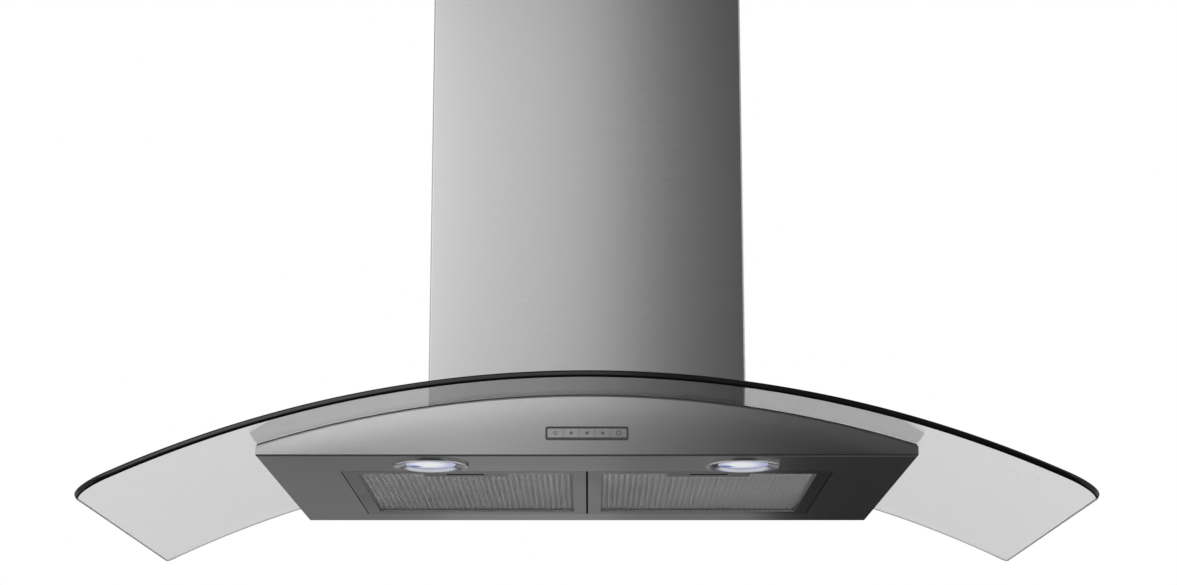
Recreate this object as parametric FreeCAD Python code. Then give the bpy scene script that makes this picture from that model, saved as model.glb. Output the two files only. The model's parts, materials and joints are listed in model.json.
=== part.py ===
import FreeCAD, Part
import math
import os
from FreeCAD import Vector

os.makedirs("parts", exist_ok=True)

# Island range hood that hangs from a ceiling. Millimetres, +Z up, the front faces -Y.
# The origin is the centre of the ceiling plate's top face.

# Overall place of the hood
hood_drop = 745.0               # ceiling down to the underside of the body
hood_travel_up = 100.0          # height adjustment of the telescoping frame
hood_travel_down = 120.0

# Glass canopy: one bent sheet, an arc from left to right
glass_width = 900.0
glass_depth = 486.0
glass_thickness = 6.0
glass_radius = 995.0            # radius of the underside
glass_overhang = 81.0           # how far it stands out in front of the body
glass_front_corner = 34.0
glass_back_corner = 8.0
glass_edge_bevel = 0.8
cutout_width = 216.0            # air passage through glass, seals and top plate
cutout_depth = 176.0
cutout_corner = 20.0
seal_thickness = 1.5            # from the steel to the glass
seal_play = 0.15                # left on each side of a seal
seal_width = 8.0

# Body: folded sheet, arched along the underside of the glass
body_width = 598.0
body_depth = 423.0
body_rise = 57.0                # underside of the body up to the glass at the centre
sheet = 1.0
body_fold_radius = 1.8
top_seam = 0.1                  # walls of the body to its top plate
lip_height = 8.0                # upstand along the front and sides of the filter opening

# Grease filters, hinged at the rear edge
filter_width = 229.0
filter_length = 281.0
filter_height = 9.0
filter_strip = 13.0             # visible width of the frame
filter_front = 89.0             # behind the front face of the body
filter_gap = 2.0                # between the two filters
filter_clearance = 1.0          # filter to the edge of the opening
mesh_thickness = 4.0
mesh_lift = 2.5                 # underside of the mesh above the underside of the frame
mesh_edge = 4.0                 # width of mesh held in the frame
mesh_play = 0.1
tab_width = 12.0
tab_reach = 9.0
tab_thickness = 1.5
tab_spacing = 130.0
lip_play = 0.3

# Filter latches: a fixed plate with a slot, and a slide behind it
latch_plate_width = 78.0
latch_plate_depth = 24.0
latch_plate_thickness = 1.4
latch_slot_width = 36.0
latch_slot_depth = 11.0
latch_slot_front = 2.5          # from the frame to the slot
latch_travel = 4.5
latch_slide_width = 60.0
latch_slide_depth = 12.0
latch_tongue_width = 20.0
latch_tab_width = 32.0
latch_sheet = 1.5
latch_play = 0.3

# Lamps
lamp_spacing = 288.0
lamp_setback = 48.0             # centre behind the front face of the body
lamp_ring_radius = 35.0
lamp_ring_drop = 2.2            # ring below the underside of the body
lamp_ring_bevel = 1.4
lamp_window_radius = 24.0
lamp_neck_radius = 29.0
lamp_neck_height = 14.0
lamp_wall = 1.5
lamp_play = 0.2
lens_thickness = 3.0
lamp_can_height = 30.0          # top of the can above the underside of the body
clip_width = 10.0
clip_height = 11.0
lead_radius = 2.2
lead_height = 12.0

# Control panel on the front face
panel_width = 74.0
panel_height = 11.0
panel_rise = 21.0               # centre above the underside of the body
panel_border = 1.1
panel_thickness = 0.8
button_count = 5
button_gap = 0.3
button_proud = 0.2
button_travel = 1.0
button_shoulder = 1.2           # the shoulder behind the wall is this much taller each way
button_shoulder_thickness = 1.0
button_stem_length = 7.0        # end of the stem behind the front face
button_stem_size = 3.0
switch_size = 6.0
switch_height = 3.2
switch_air = 0.3                # left between stem and switch at full travel
board_thickness = 1.6
board_width = 78.0
board_height = 14.0
housing_wall = 1.5
housing_depth = 16.0

# Lamp driver in the front of the body
driver_width = 90.0
driver_depth = 38.0
driver_height = 20.0
driver_setback = 28.0

# Chimney covers
chimney_width = 300.0
chimney_depth = 250.0
chimney_fold_radius = 2.0
chimney_seam = 0.2              # between the front and the rear half
glass_gap = 0.3                 # lower cover above the glass
lower_chimney_height = 480.0    # above the crown of the glass
upper_chimney_length = 360.0
upper_chimney_drop = 150.0      # lowered like this to reach the ceiling anchors
telescope_gap = 0.8
ceiling_gap = 0.5
hanger_notch_width = 5.0
hanger_notch_depth = 12.0
hanger_spacing = 120.0

# Ceiling plate
plate_thickness = 3.0
plate_lip = 20.0
plate_play = 0.7                # lip inside the upper cover
duct_hole_radius = 80.0
anchor_spacing_x = 240.0
anchor_spacing_y = 170.0
anchor_hole_radius = 4.0
supply_hole_radius = 10.0       # straight above the cable gland
screw_radius = 2.0
screw_head_radius = 4.0
screw_head_height = 2.0
screw_grip = 6.0
screw_play = 0.2

# Telescoping frame of four upper and four lower angle sections
frame_room = 5.7                # uprights inside the upper cover
upright_flange = 25.0
upright_sheet = 2.0
upright_play = 0.3
lower_upright_height = 560.0    # top above the underside of the body
upright_min_overlap = 50.0
clamp_bolt_radius = 2.5
clamp_head_radius = 4.5
clamp_head_height = 3.0
clamp_drop = 25.0               # bolt below the top of the lower uprights
clamp_slot_play = 0.3
brace_strip = 15.0
brace_drop = 45.0

# Base frame between the glass and the uprights
base_rise = 14.0                # top above the upper seal at the centre
base_sheet = 2.0
lug_width = 20.0                # lugs that the lower chimney cover is screwed to
lug_height = 10.0
lug_play = 0.3
glass_bolt_radius = 3.0
glass_bolt_hole = 3.6
glass_bolt_spacing = 90.0       # front to rear
glass_bolt_head_radius = 6.0
glass_bolt_head_height = 4.0
glass_nut_height = 5.0

# Motor box and blower
box_height = 290.0
box_play = 0.3
axle_rise = 110.0               # wheel axis above the base frame
scroll_width = 120.0
scroll_room = 10.9              # scroll to the front wall of the box
scroll_step = 6.0
scroll_sheet = 1.0
outlet_depth = 150.0
inlet_step = 3.0                # inlet smaller than the inside of the blades
inlet_ring = 1.5
inlet_ring_length = 4.0
wheel_gap = 6.0                 # wheel to the start of the scroll
blade_depth = 11.0
wheel_width = 108.0
wheel_ring = 2.0
wheel_web = 2.0
blade_count = 32
blade_thickness = 1.0
blade_lean = 35.0
hub_radius = 10.0
hub_gap = 1.0                   # hub to the face of the motor
shaft_radius = 4.0
shaft_play = 0.05
shaft_reach = 12.0
shaft_length = 52.0
motor_radius = 40.0
motor_gap = 7.0                 # motor to the middle of the wheel
motor_length = 57.0
bracket_arm_width = 14.0
bracket_thickness = 3.0
bracket_foot = 6.0
bracket_overhang = 10.0         # arms beyond the inlet

# Outlet collar and backdraft flaps
collar_radius = 75.0
collar_wall = 2.0
collar_height = 45.0
collar_flange = 10.0
collar_flange_thickness = 2.0
ledge_width = 4.0
ledge_thickness = 2.0
ledge_rise = 10.0
flap_thickness = 1.2
flap_play = 0.3
flap_edge_gap = 1.5
flap_pin_radius = 1.5
flap_pin_play = 0.05
knuckle_radius = 2.6
knuckle_span = 60.0
knuckle_gap = 1.0

# Electric parts on top of the motor box
control_box_length = 110.0
control_box_height = 38.0
control_box_wall = 2.0
electric_margin = 4.0
capacitor_width = 30.0
capacitor_length = 60.0
capacitor_height = 28.0
gland_bore = 4.0
gland_radius = 7.0
gland_flange = 9.0
gland_flange_height = 4.0
gland_length = 18.0
gland_offset = 30.0

# Levels and planes that follow
body_bottom = -hood_drop
body_front = -body_depth / 2
body_back = body_depth / 2
glass_front = body_front - glass_overhang
glass_back = glass_front + glass_depth
arch_axis = body_bottom + body_rise - glass_radius
glass_top_radius = glass_radius + glass_thickness
glass_half_angle = math.asin(glass_width / 2 / glass_top_radius)
plate_top_radius = glass_radius - seal_thickness
plate_low_radius = plate_top_radius - sheet
upper_seal_radius = glass_top_radius + seal_thickness
base_top = arch_axis + upper_seal_radius + base_rise

upper_frame_width = chimney_width - 4 * sheet - 2 * (telescope_gap + frame_room)
upper_frame_depth = chimney_depth - 4 * sheet - 2 * (telescope_gap + frame_room)
lower_frame_width = upper_frame_width - 2 * (upright_sheet + upright_play)
lower_frame_depth = upper_frame_depth - 2 * (upright_sheet + upright_play)
lower_frame_top = body_bottom + lower_upright_height
upper_frame_bottom = lower_frame_top - hood_travel_down - upright_min_overlap
clamp_level = lower_frame_top - clamp_drop
box_width = lower_frame_width - 2 * (upright_sheet + box_play)
box_depth = lower_frame_depth - 2 * (upright_sheet + box_play)
box_top = base_top + box_height
glass_bolt_x = (cutout_width / 2 + lower_frame_width / 2 - base_sheet) / 2
glass_bolt_y = glass_bolt_spacing / 2

upper_chimney_width = chimney_width - 2 * (sheet + telescope_gap)
upper_chimney_depth = chimney_depth - 2 * (sheet + telescope_gap)
lower_chimney_top = arch_axis + glass_top_radius + lower_chimney_height
upper_chimney_top = -plate_thickness - ceiling_gap
upper_chimney_bottom = upper_chimney_top - upper_chimney_length
plate_width = upper_chimney_width - 2 * (sheet + plate_play)
plate_depth = upper_chimney_depth - 2 * (sheet + plate_play)

filter_front_edge = body_front + filter_front
filter_back_edge = filter_front_edge + filter_length
opening_front = filter_front_edge - filter_clearance
opening_back = filter_back_edge + filter_clearance
opening_half = filter_width + filter_gap / 2 + filter_clearance
latch_front = filter_front_edge + filter_strip
latch_plate_top = body_bottom + mesh_lift
latch_slide_bottom = latch_plate_top + latch_play

lamp_y = body_front + lamp_setback
panel_z = body_bottom + panel_rise
window_width = panel_width - 2 * panel_border
window_height = panel_height - 2 * panel_border
button_width = (window_width - (button_count + 1) * button_gap) / button_count
button_pitch = button_width + button_gap
switch_front = body_front + button_stem_length + button_travel + switch_air
board_front = switch_front + switch_height

axle_z = base_top + axle_rise
scroll_growth = 3 * scroll_step
scroll_start_radius = (
    box_depth / 2 - sheet + outlet_depth / 2 - scroll_growth - scroll_sheet - scroll_room
) / 2
axle_offset = outlet_depth / 2 - scroll_growth - scroll_start_radius
wheel_radius = scroll_start_radius - wheel_gap
wheel_inner_radius = wheel_radius - blade_depth
inlet_radius = wheel_inner_radius - inlet_step
bracket_reach = inlet_radius + bracket_overhang
control_box_width = box_width / 2 - collar_radius - collar_flange - 2 * electric_margin
control_box_x = electric_margin - box_width / 2 + control_box_width / 2
far = 2 * glass_depth           # longer than any cut across the hood needs


def block(x_range, y_range, z_range):
    size = [high - low for low, high in (x_range, y_range, z_range)]
    return Part.makeBox(size[0], size[1], size[2], Vector(x_range[0], y_range[0], z_range[0]))


def centred(width, depth, z_range, x=0.0, y=0.0):
    return block((x - width / 2, x + width / 2), (y - depth / 2, y + depth / 2), z_range)


def rod(radius, start, end):
    first = Vector(*start)
    along = Vector(*end) - first
    return Part.makeCylinder(radius, along.Length, first, along)


def tube(outer, inner, start, end):
    return rod(outer, start, end).cut(rod(inner, start, end))


def rounded_post(width, depth, radius, z_range):
    post = centred(width, depth, z_range)
    upright = [edge for edge in post.Edges if abs(edge.tangentAt(edge.FirstParameter).z) > 0.9]
    return post.makeFillet(radius, upright)


def turned(points, x, y, z):
    corners = [Vector(x + radius, y, z + height) for radius, height in points]
    outline = Part.makePolygon(corners + corners[:1])
    return Part.Face(outline).revolve(Vector(x, y, z), Vector(0, 0, 1), 360)


def arch(radius):
    return rod(radius, (0, -far, arch_axis), (0, far, arch_axis))


def arch_band(low_radius, high_radius, plan):
    # the part of an upright block between two arcs of the canopy
    return plan.common(arch(high_radius)).cut(arch(low_radius))


def plan_block(width, depth, y=0.0):
    return centred(width, depth, (body_bottom, base_top), 0.0, y)


def cutout():
    return rounded_post(cutout_width, cutout_depth, cutout_corner, (body_bottom - far, base_top + far))


def glass_bolt_places():
    return [(x, y) for x in (-glass_bolt_x, glass_bolt_x) for y in (-glass_bolt_y, glass_bolt_y)]


def drill_glass_bolts(solid):
    for x, y in glass_bolt_places():
        solid = solid.cut(rod(glass_bolt_hole, (x, y, body_bottom), (x, y, base_top + far)))
    return solid


def save(name, *solids):
    shape = solids[0] if len(solids) == 1 else Part.makeCompound(list(solids))
    shape.exportStep("parts/" + name + ".step")
    print(name, len(shape.Solids), round(shape.Volume, 1))


# Glass canopy and its seals

def arc_point(radius, angle):
    return Vector(radius * math.sin(angle), glass_front, arch_axis + radius * math.cos(angle))


def glass_canopy():
    low = [arc_point(glass_radius, share * glass_half_angle) for share in (-1, 0, 1)]
    high = [arc_point(glass_top_radius, share * glass_half_angle) for share in (-1, 0, 1)]
    edges = [
        Part.Arc(*low).toShape(),
        Part.LineSegment(low[2], high[2]).toShape(),
        Part.Arc(*reversed(high)).toShape(),
        Part.LineSegment(high[0], low[0]).toShape(),
    ]
    glass = Part.Face(Part.Wire(edges)).extrude(Vector(0, glass_depth, 0))
    for plane, radius in ((glass_front, glass_front_corner), (glass_back, glass_back_corner)):
        corners = [edge for edge in glass.Edges if is_corner(edge, plane)]
        glass = glass.makeFillet(radius, corners)
    outline = [edge for edge in glass.Edges if edge.Length > 1.2 * glass_thickness]
    glass = glass.makeChamfer(glass_edge_bevel, outline)
    return drill_glass_bolts(glass.cut(cutout()))


def is_corner(edge, plane):
    short = edge.Length < 1.2 * glass_thickness
    return short and all(abs(vertex.Y - plane) < glass_edge_bevel for vertex in edge.Vertexes)


def seal_ring(outer_width, outer_depth, low_radius, high_radius, y=0.0):
    plan = plan_block(outer_width, outer_depth, y)
    plan = plan.cut(plan_block(outer_width - 2 * seal_width, outer_depth - 2 * seal_width, y))
    return arch_band(low_radius + seal_play, high_radius - seal_play, plan)


def lower_glass_seal():
    under_glass = glass_back - body_front - 2 * sheet
    border_y = (body_front + glass_back) / 2
    border = seal_ring(body_width - 2 * sheet, under_glass, plate_top_radius, glass_radius, border_y)
    passage = seal_ring(
        cutout_width + 2 * seal_width, cutout_depth + 2 * seal_width, plate_top_radius, glass_radius
    )
    return border, passage


def upper_glass_seal():
    return seal_ring(lower_frame_width, lower_frame_depth, glass_top_radius, upper_seal_radius)


# Body

def body_shell():
    top = body_bottom + body_rise
    outer = centred(body_width, body_depth, (body_bottom, top)).common(arch(plate_low_radius - top_seam))
    folds = [edge for edge in outer.Edges if is_bottom(edge)]
    outer = outer.makeFillet(body_fold_radius, folds)
    inner = centred(body_width - 2 * sheet, body_depth - 2 * sheet, (body_bottom + sheet, top))
    shell = outer.cut(inner)
    shell = shell.fuse(opening_lip())
    shell = shell.cut(filter_opening(0.0, body_bottom - far))
    for side in (-1, 1):
        x = side * lamp_spacing / 2
        hole = lamp_neck_radius + lamp_play
        shell = shell.cut(rod(hole, (x, lamp_y, body_bottom - sheet), (x, lamp_y, body_bottom + 3 * sheet)))
    wall = (body_front - sheet, body_front + 2 * sheet)
    window = block(
        (-window_width / 2, window_width / 2), wall, (panel_z - window_height / 2, panel_z + window_height / 2)
    )
    return shell.cut(window).removeSplitter()


def is_bottom(edge):
    return all(abs(vertex.Z - body_bottom) < sheet / 10 for vertex in edge.Vertexes)


def filter_opening(border, floor):
    return block(
        (-opening_half - border, opening_half + border),
        (opening_front - border, opening_back),
        (floor, body_bottom + lip_height),
    )


def opening_lip():
    return filter_opening(sheet, body_bottom).cut(filter_opening(0.0, body_bottom))


def body_top_plate():
    plate = arch_band(plate_low_radius, plate_top_radius, plan_block(body_width, body_depth))
    return drill_glass_bolts(plate.cut(cutout()))


# Control panel

def button_x(index):
    return (index - (button_count - 1) / 2) * button_pitch


def panel_bezel():
    plate = block(
        (-panel_width / 2, panel_width / 2),
        (body_front - panel_thickness, body_front),
        (panel_z - panel_height / 2, panel_z + panel_height / 2),
    )
    window = block(
        (-window_width / 2, window_width / 2),
        (body_front - 2 * panel_thickness, body_front + sheet),
        (panel_z - window_height / 2, panel_z + window_height / 2),
    )
    return plate.cut(window)


def button(index):
    x = button_x(index)
    height = window_height - 2 * button_gap
    wide = (x - button_width / 2, x + button_width / 2)
    face = body_front - panel_thickness - button_proud
    shoulder = body_front + sheet + button_gap
    shoulder_end = shoulder + button_shoulder_thickness
    cap = block(wide, (face, shoulder_end), (panel_z - height / 2, panel_z + height / 2))
    tall = height / 2 + button_shoulder
    stop = block(wide, (shoulder, shoulder_end), (panel_z - tall, panel_z + tall))
    half = button_stem_size / 2
    stem = block(
        (x - half, x + half), (shoulder_end, body_front + button_stem_length), (panel_z - half, panel_z + half)
    )
    return cap.fuse(stop).fuse(stem).removeSplitter()


def tact_switches():
    half = switch_size / 2
    return [
        block(
            (button_x(index) - half, button_x(index) + half),
            (switch_front, board_front),
            (panel_z - half, panel_z + half),
        )
        for index in range(button_count)
    ]


def switch_board():
    return block(
        (-board_width / 2, board_width / 2),
        (board_front, board_front + board_thickness),
        (panel_z - board_height / 2, panel_z + board_height / 2),
    )


def switch_housing():
    wide = board_width / 2
    tall = board_height / 2
    front = body_front + sheet
    back = front + housing_depth
    outer = block(
        (-wide - housing_wall, wide + housing_wall),
        (front, back),
        (panel_z - tall - housing_wall, panel_z + tall + housing_wall),
    )
    return outer.cut(block((-wide, wide), (front, back - housing_wall), (panel_z - tall, panel_z + tall)))


# Lamps

def lamp_ring(x):
    step = lamp_ring_drop - lamp_wall
    inner = lamp_neck_radius - lamp_wall
    profile = [
        (lamp_window_radius, -lamp_ring_drop),
        (lamp_ring_radius - lamp_ring_bevel, -lamp_ring_drop),
        (lamp_ring_radius, lamp_ring_bevel - lamp_ring_drop),
        (lamp_ring_radius, 0.0),
        (lamp_neck_radius, 0.0),
        (lamp_neck_radius, lamp_neck_height),
        (inner, lamp_neck_height),
        (inner, -step),
        (lamp_window_radius, -step),
    ]
    return turned(profile, x, lamp_y, body_bottom)


def lens_range():
    low = body_bottom - lamp_ring_drop + lamp_wall
    return low, low + lens_thickness


def lamp_lens(x):
    low, high = lens_range()
    return rod(lamp_neck_radius - lamp_wall - lamp_play, (x, lamp_y, low), (x, lamp_y, high))


def lamp_can(x):
    radius = lamp_neck_radius - lamp_wall - lamp_play
    low = lens_range()[1]
    top = body_bottom + lamp_can_height
    can = rod(radius, (x, lamp_y, low), (x, lamp_y, top))
    return can.cut(rod(radius - lamp_wall, (x, lamp_y, low), (x, lamp_y, top - lamp_wall)))


def lamp_clips():
    low = body_bottom + sheet
    clips = []
    for side in (-1, 1):
        for face in (-1, 1):
            x = side * lamp_spacing / 2
            y = lamp_y + face * (lamp_neck_radius + lamp_wall / 2)
            clips.append(centred(clip_width, lamp_wall, (low, low + clip_height), x, y))
    return clips


def lamp_driver():
    front = body_front + driver_setback
    return block(
        (-driver_width / 2, driver_width / 2),
        (front, front + driver_depth),
        (body_bottom + sheet, body_bottom + sheet + driver_height),
    )


def lamp_leads():
    level = body_bottom + lead_height + lead_radius
    can_side = lamp_spacing / 2 - lamp_neck_radius - lamp_play
    return [
        rod(lead_radius, (side * driver_width / 2, lamp_y, level), (side * can_side, lamp_y, level))
        for side in (-1, 1)
    ]


# Grease filters

def filter_x(side):
    return side * (filter_width + filter_gap) / 2


def filter_middle():
    return (filter_front_edge + filter_back_edge) / 2


def mesh_range():
    return body_bottom + mesh_lift, body_bottom + mesh_lift + mesh_thickness


def filter_window(border, z_range, x):
    width = filter_width - 2 * (filter_strip - border)
    length = filter_length - 2 * (filter_strip - border)
    return centred(width, length, z_range, x, filter_middle())


def filter_frame(side):
    x = filter_x(side)
    frame = centred(
        filter_width, filter_length, (body_bottom, body_bottom + filter_height), x, filter_middle()
    )
    frame = frame.cut(filter_window(0.0, (body_bottom, body_bottom + filter_height), x))
    low, high = mesh_range()
    frame = frame.cut(filter_window(mesh_edge, (low - mesh_play, high + mesh_play), x))
    tab_low = body_bottom + sheet + lip_play
    for offset in (-tab_spacing / 2, tab_spacing / 2):
        tab = block(
            (x + offset - tab_width / 2, x + offset + tab_width / 2),
            (filter_back_edge - sheet, filter_back_edge + tab_reach),
            (tab_low, tab_low + tab_thickness),
        )
        frame = frame.fuse(tab)
    notch_half = latch_tongue_width / 2 + latch_play
    notch = block(
        (x - notch_half, x + notch_half),
        (filter_front_edge, latch_front),
        (latch_slide_bottom - latch_play, latch_slide_bottom + latch_sheet + latch_play),
    )
    return frame.cut(notch).removeSplitter()


def filter_mesh(side):
    x = filter_x(side)
    mesh = filter_window(mesh_edge - mesh_play, mesh_range(), x)
    room = latch_plate_width - 2 * latch_play
    pocket = block(
        (x - room / 2, x + room / 2),
        (filter_front_edge, latch_front + latch_plate_depth - latch_play),
        mesh_range(),
    )
    return mesh.cut(pocket)


def latch_plate(side):
    x = filter_x(side)
    plate = block(
        (x - latch_plate_width / 2, x + latch_plate_width / 2),
        (latch_front, latch_front + latch_plate_depth),
        (latch_plate_top - latch_plate_thickness, latch_plate_top),
    )
    slot_start = latch_front + latch_slot_front
    slot = block(
        (x - latch_slot_width / 2, x + latch_slot_width / 2),
        (slot_start, slot_start + latch_slot_depth),
        (latch_plate_top - 2 * latch_plate_thickness, latch_plate_top),
    )
    return plate.cut(slot)


def latch_slide(side):
    x = filter_x(side)
    level = (latch_slide_bottom, latch_slide_bottom + latch_sheet)
    tab_back = latch_front + latch_slot_front + latch_slot_depth - latch_travel - latch_play
    slide_front = tab_back - latch_slide_depth / 2
    body = block(
        (x - latch_slide_width / 2, x + latch_slide_width / 2), (slide_front, slide_front + latch_slide_depth), level
    )
    tongue = block(
        (x - latch_tongue_width / 2, x + latch_tongue_width / 2),
        (opening_front + lip_play, slide_front),
        level,
    )
    tab = block(
        (x - latch_tab_width / 2, x + latch_tab_width / 2),
        (tab_back - latch_sheet, tab_back),
        (latch_plate_top - latch_plate_thickness, latch_slide_bottom),
    )
    return body.fuse(tongue).fuse(tab).removeSplitter()


# Chimney covers

def chimney_tube(width, depth, z_range):
    outer = rounded_post(width, depth, chimney_fold_radius, z_range)
    inner_radius = chimney_fold_radius - sheet
    return outer.cut(rounded_post(width - 2 * sheet, depth - 2 * sheet, inner_radius, z_range))


def split_halves(solid):
    halves = []
    for y_range in ((-far, -chimney_seam / 2), (chimney_seam / 2, far)):
        halves.append(solid.common(block((-far, far), y_range, (-far, far))))
    return halves


def lower_chimney():
    cover = chimney_tube(chimney_width, chimney_depth, (body_bottom, lower_chimney_top))
    cover = cover.cut(arch(glass_top_radius + glass_gap))
    for side in (-1, 1):
        for y in (-hanger_spacing / 2, hanger_spacing / 2):
            cover = cover.cut(chimney_screw_shank(side, y, screw_radius + screw_play))
    return split_halves(cover)


def chimney_screw_shank(side, y, radius):
    level = base_top - base_rise / 2
    return rod(radius, (side * lower_frame_width / 2, y, level), (side * chimney_width / 2, y, level))


def chimney_screws():
    screws = []
    level = base_top - base_rise / 2
    for side in (-1, 1):
        face = side * (chimney_width / 2)
        for y in (-hanger_spacing / 2, hanger_spacing / 2):
            head = rod(screw_head_radius, (face, y, level), (face + side * screw_head_height, y, level))
            screws.append(chimney_screw_shank(side, y, screw_radius).fuse(head).removeSplitter())
    return screws


def upper_chimney():
    cover = chimney_tube(
        upper_chimney_width, upper_chimney_depth, (upper_chimney_bottom, upper_chimney_top)
    )
    for side in (-1, 1):
        for y in (-hanger_spacing / 2, hanger_spacing / 2):
            notch = centred(
                4 * sheet, hanger_notch_width, (upper_chimney_top - hanger_notch_depth, 0.0),
                side * upper_chimney_width / 2, y,
            )
            cover = cover.cut(notch)
    return split_halves(cover)


def hanger_screws():
    level = upper_chimney_top - hanger_notch_depth + hanger_notch_width / 2
    screws = []
    for side in (-1, 1):
        wall = side * upper_chimney_width / 2
        for y in (-hanger_spacing / 2, hanger_spacing / 2):
            neck = wall + side * screw_play
            shank = rod(screw_radius, (wall - side * screw_grip, y, level), (neck, y, level))
            head = rod(screw_head_radius, (neck, y, level), (neck + side * screw_head_height, y, level))
            screws.append(shank.fuse(head).removeSplitter())
    return screws


# Ceiling plate and frame

def ceiling_plate():
    plate = centred(plate_width, plate_depth, (-plate_thickness, 0.0))
    for side in (-1, 1):
        x = side * (plate_width / 2 - upright_sheet / 2)
        plate = plate.fuse(centred(upright_sheet, plate_depth, (-plate_thickness - plate_lip, 0.0), x))
    plate = plate.cut(rod(duct_hole_radius, (0, 0, -2 * plate_thickness), (0, 0, plate_thickness)))
    holes = [(supply_hole_radius, control_box_x, gland_offset)]
    for x in (-anchor_spacing_x / 2, anchor_spacing_x / 2):
        for y in (-anchor_spacing_y / 2, anchor_spacing_y / 2):
            holes.append((anchor_hole_radius, x, y))
    for radius, x, y in holes:
        plate = plate.cut(rod(radius, (x, y, -plate_thickness), (x, y, 0)))
    for screw in hanger_screws():
        plate = plate.cut(screw)
    return plate.removeSplitter()


def angle_sections(width, depth, z_range):
    sections = []
    for side in (-1, 1):
        for face in (-1, 1):
            x = sorted((side * width / 2, side * (width / 2 - upright_flange)))
            y = sorted((face * depth / 2, face * (depth / 2 - upright_flange)))
            x_web = sorted((side * (width / 2 - upright_sheet), side * (width / 2 - upright_flange)))
            y_web = sorted((face * (depth / 2 - upright_sheet), face * (depth / 2 - upright_flange)))
            sections.append(block(x, y, z_range).cut(block(x_web, y_web, z_range)))
    return sections


def clamp_places():
    # start on the outside of the upper section, direction inwards
    reach = upright_flange * 0.55
    places = []
    for side in (-1, 1):
        for face in (-1, 1):
            x = side * upper_frame_width / 2
            y = face * upper_frame_depth / 2
            places.append((x, y - face * reach, -side, 0))
            places.append((x - side * reach, y, 0, -face))
    return places


def clamp_bolts():
    bolts = []
    through = 2 * upright_sheet + 2 * upright_play + clamp_head_height
    for x, y, step_x, step_y in clamp_places():
        def at(distance):
            return x + step_x * distance, y + step_y * distance, clamp_level
        head = rod(clamp_head_radius, at(-upright_play - clamp_head_height), at(-upright_play))
        nut_start = 2 * upright_sheet + upright_play
        nut = rod(clamp_head_radius, at(nut_start), at(nut_start + clamp_head_height))
        shank = rod(clamp_bolt_radius, at(-upright_play), at(through))
        bolts.append(head.fuse(shank).fuse(nut).removeSplitter())
    return bolts


def upper_uprights():
    posts = angle_sections(upper_frame_width, upper_frame_depth, (upper_frame_bottom, -plate_thickness))
    width = clamp_bolt_radius + clamp_slot_play
    slots = []
    for x, y, step_x, step_y in clamp_places():
        def at(distance, level):
            return x + step_x * distance, y + step_y * distance, level
        low = clamp_level - hood_travel_down
        high = clamp_level + hood_travel_up
        inside = upright_sheet + upright_play / 2
        middle = centred(
            2 * inside if step_x else 2 * width, 2 * width if step_x else 2 * inside, (low, high), x, y
        )
        ends = [rod(width, at(-inside, level), at(inside, level)) for level in (low, high)]
        slots.append(middle.fuse(ends))
    return [cut_all(post, slots) for post in posts]


def lower_uprights():
    posts = angle_sections(lower_frame_width, lower_frame_depth, (base_top, lower_frame_top))
    return [cut_all(post, clamp_bolts()) for post in posts]


def cut_all(solid, tools):
    for tool in tools:
        solid = solid.cut(tool)
    return solid


def frame_brace():
    top = lower_frame_top - brace_drop
    level = (top - upright_sheet, top)
    width = lower_frame_width - 2 * upright_sheet
    depth = lower_frame_depth - 2 * upright_sheet
    return centred(width, depth, level).cut(
        centred(width - 2 * brace_strip, depth - 2 * brace_strip, level)
    )


def base_frame():
    low = body_bottom
    frame = centred(lower_frame_width, lower_frame_depth, (low, base_top))
    frame = frame.cut(
        centred(
            lower_frame_width - 2 * base_sheet, lower_frame_depth - 2 * base_sheet, (low, base_top - base_sheet)
        )
    )
    frame = frame.cut(arch(upper_seal_radius))
    level = base_top - base_rise / 2
    for side in (-1, 1):
        reach = side * (chimney_width / 2 - sheet - lug_play)
        for y in (-hanger_spacing / 2, hanger_spacing / 2):
            lug = block(
                sorted((side * (lower_frame_width / 2 - base_sheet), reach)),
                (y - lug_width / 2, y + lug_width / 2),
                (level - lug_height / 2, level + lug_height / 2),
            )
            frame = frame.fuse(lug).cut(chimney_screw_shank(side, y, screw_radius))
    return drill_glass_bolts(frame.cut(cutout())).removeSplitter()


def glass_bolts():
    parts = []
    for x, y in glass_bolt_places():
        under = arch_axis + math.sqrt(plate_low_radius ** 2 - (abs(x) + glass_bolt_head_radius) ** 2)
        head_top = base_top + glass_bolt_head_height
        head = rod(glass_bolt_head_radius, (x, y, base_top), (x, y, head_top))
        shank = rod(glass_bolt_radius, (x, y, under - glass_nut_height), (x, y, base_top))
        nut = rod(glass_bolt_head_radius, (x, y, under - glass_nut_height), (x, y, under))
        parts.append(head.fuse(shank).fuse(nut).removeSplitter())
    return parts


# Motor box and blower

def motor_box():
    box = centred(box_width, box_depth, (base_top, box_top))
    box = box.cut(centred(box_width - 2 * sheet, box_depth - 2 * sheet, (base_top, box_top - sheet)))
    return box.cut(rod(collar_radius - collar_wall, (0, 0, box_top - 2 * sheet), (0, 0, box_top + sheet)))


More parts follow.
